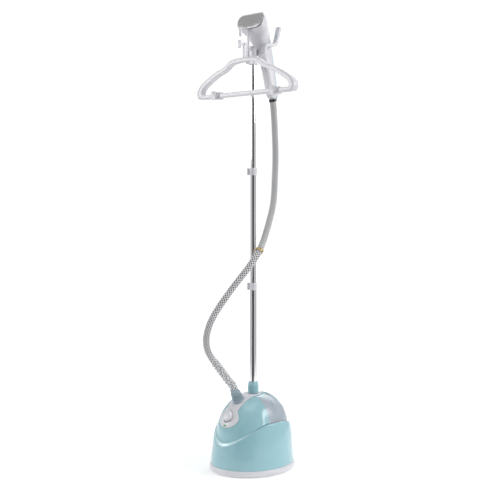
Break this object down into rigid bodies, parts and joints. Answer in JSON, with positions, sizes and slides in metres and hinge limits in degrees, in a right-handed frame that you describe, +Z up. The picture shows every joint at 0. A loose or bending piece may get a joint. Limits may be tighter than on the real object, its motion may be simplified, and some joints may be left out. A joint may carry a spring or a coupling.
{
  "type": "garment steamer",
  "caption": "Garment steamer: domed base with a lift-off rear tank and a front knob, telescopic mast, hanger with trouser clips, and a hand steam head on a fork fed by a braided hose.",
  "frame": {"origin": "on the floor, under the middle of the base", "axes": "+Z up along the mast, -Y towards the knob at the front, +X to the right of someone who stands behind the machine facing its front side; the hanger lies along X"},
  "size_m": [0.477, 0.3633, 1.516],
  "materials": {
    "white_plastic": "satin moulded",
    "bright_plastic": "satin moulded",
    "aqua_plastic": "gloss lacquered",
    "pale_aqua_plastic": "gloss",
    "tank_plastic": "frosted, translucent",
    "slate_plastic": "ribbed",
    "grey_plastic": "matte",
    "black_plastic": "matte",
    "green_lens": "clear tinted",
    "rubber": "matte",
    "chrome": "polished",
    "steel": "satin",
    "aluminium": "as cast",
    "brass": "polished",
    "braided_hose": "woven silver and white sleeve"
  },
  "bodies": {
    "base": {"base_plate": "white_plastic", "foot_front_left": "rubber", "foot_front_right": "rubber", "foot_rear_left": "rubber", "foot_rear_right": "rubber", "lower_shell": "aqua_plastic", "accent_band": "pale_aqua_plastic", "upper_shell": "aqua_plastic", "control_panel": "white_plastic", "knob_bezel": "grey_plastic", "indicator_lens": "green_lens", "steam_switch": "black_plastic", "inner_deck": "white_plastic", "valve_seat": "rubber", "boiler_body": "aluminium", "boiler_cover": "aluminium", "heating_element": "steel", "thermostat": "black_plastic", "steam_pipe": "rubber", "water_pipe": "rubber", "hose_socket": "white_plastic", "hose_ferrule": "slate_plastic", "mast_socket": "white_plastic", "lower_tube": "chrome", "clamp_1_collar": "white_plastic", "clamp_1_pin": "steel", "cord_gland": "grey_plastic", "hose_lower": "braided_hose"},
    "knob": {"steam_knob": "white_plastic", "knob_ring": "aqua_plastic"},
    "tank": {"water_tank": "tank_plastic", "tank_valve": "white_plastic"},
    "lid": {"tank_lid": "pale_aqua_plastic"},
    "collar": {"mast_collar": "aqua_plastic"},
    "nut": {"hose_nut": "slate_plastic"},
    "lever_1": {"clamp_1_lever": "white_plastic"},
    "lever_2": {"clamp_2_lever": "white_plastic"},
    "pole_mid": {"middle_tube": "chrome", "clamp_2_collar": "white_plastic", "clamp_2_pin": "steel", "hose_band": "brass", "hose_upper": "braided_hose"},
    "pole_top": {"upper_tube": "chrome", "mast_head": "white_plastic", "fork": "white_plastic", "hanger": "white_plastic"},
    "swivel_hook": {"garment_hook": "white_plastic"},
    "steam_head": {"head_shell": "white_plastic", "handle_cover": "aqua_plastic", "steam_plate": "steel", "plate_gasket": "black_plastic", "handle_end_ring": "black_plastic"},
    "trigger": {"steam_trigger": "white_plastic"},
    "left_clip": {"left_clip_saddle": "bright_plastic", "left_clip_pin": "steel"},
    "left_jaw": {"left_clip_jaw": "bright_plastic"},
    "right_clip": {"right_clip_saddle": "bright_plastic", "right_clip_pin": "steel"},
    "right_jaw": {"right_clip_jaw": "bright_plastic"}
  },
  "joints": [
    {"name": "knob_turn", "type": "hinge", "parent": "base", "child": "knob", "pos_m": [0, -0.1035, 0.19], "axis": [0, -0.9397, 0.342], "range_deg": [-270, 0]},
    {"name": "tank_lift", "type": "slide", "parent": "base", "child": "tank", "axis": [0, 0, 1], "range_m": [0, 0.09]},
    {"name": "lid_lift", "type": "slide", "parent": "tank", "child": "lid", "axis": [0, 0.5736, 0.8191], "range_m": [0, 0.03]},
    {"name": "collar_turn", "type": "hinge", "parent": "base", "child": "collar", "pos_m": [0, 0.004, 0.272], "axis": [0, 0, 1], "range_deg": [0, 90]},
    {"name": "nut_turn", "type": "hinge", "parent": "base", "child": "nut", "pos_m": [0, -0.063, 0.24], "axis": [0, -0.4618, 0.887], "range_deg": [0, 90]},
    {"name": "lever_1_flip", "type": "hinge", "parent": "base", "child": "lever_1", "pos_m": [-0.0165, -0.004, 0.614], "axis": [0, 0, 1], "range_deg": [0, 110]},
    {"name": "pole_mid_slide", "type": "slide", "parent": "base", "child": "pole_mid", "axis": [0, 0, 1], "range_m": [-0.33, 0], "deforming": ["hose_lower"]},
    {"name": "lever_2_flip", "type": "hinge", "parent": "pole_mid", "child": "lever_2", "pos_m": [-0.0165, -0.004, 0.998], "axis": [0, 0, 1], "range_deg": [0, 110]},
    {"name": "pole_top_slide", "type": "slide", "parent": "pole_mid", "child": "pole_top", "axis": [0, 0, 1], "range_m": [-0.33, 0], "deforming": ["hose_upper"]},
    {"name": "hook_swivel", "type": "hinge", "parent": "pole_top", "child": "swivel_hook", "pos_m": [0, -0.0175, 1.41], "axis": [0, 0, 1], "range_deg": [-35, 35]},
    {"name": "head_lift", "type": "slide", "parent": "pole_top", "child": "steam_head", "axis": [0, -0.196, 0.9806], "range_m": [0, 0.05]},
    {"name": "trigger_press", "type": "slide", "parent": "steam_head", "child": "trigger", "axis": [0, 0.9806, 0.196], "range_m": [0, 0.003], "stiffness_N_per_m": 600},
    {"name": "left_clip_slide", "type": "slide", "parent": "pole_top", "child": "left_clip", "axis": [1, 0, 0], "range_m": [-0.045, 0.05]},
    {"name": "left_jaw_hinge", "type": "hinge", "parent": "left_clip", "child": "left_jaw", "pos_m": [-0.138, -0.05, 1.254], "axis": [-1, 0, 0], "range_deg": [0, 15], "stiffness_Nm_per_rad": 0.05},
    {"name": "right_clip_slide", "type": "slide", "parent": "pole_top", "child": "right_clip", "axis": [1, 0, 0], "range_m": [-0.05, 0.035]},
    {"name": "right_jaw_hinge", "type": "hinge", "parent": "right_clip", "child": "right_jaw", "pos_m": [0.15, -0.05, 1.254], "axis": [-1, 0, 0], "range_deg": [0, 15], "stiffness_Nm_per_rad": 0.05}
  ]
}
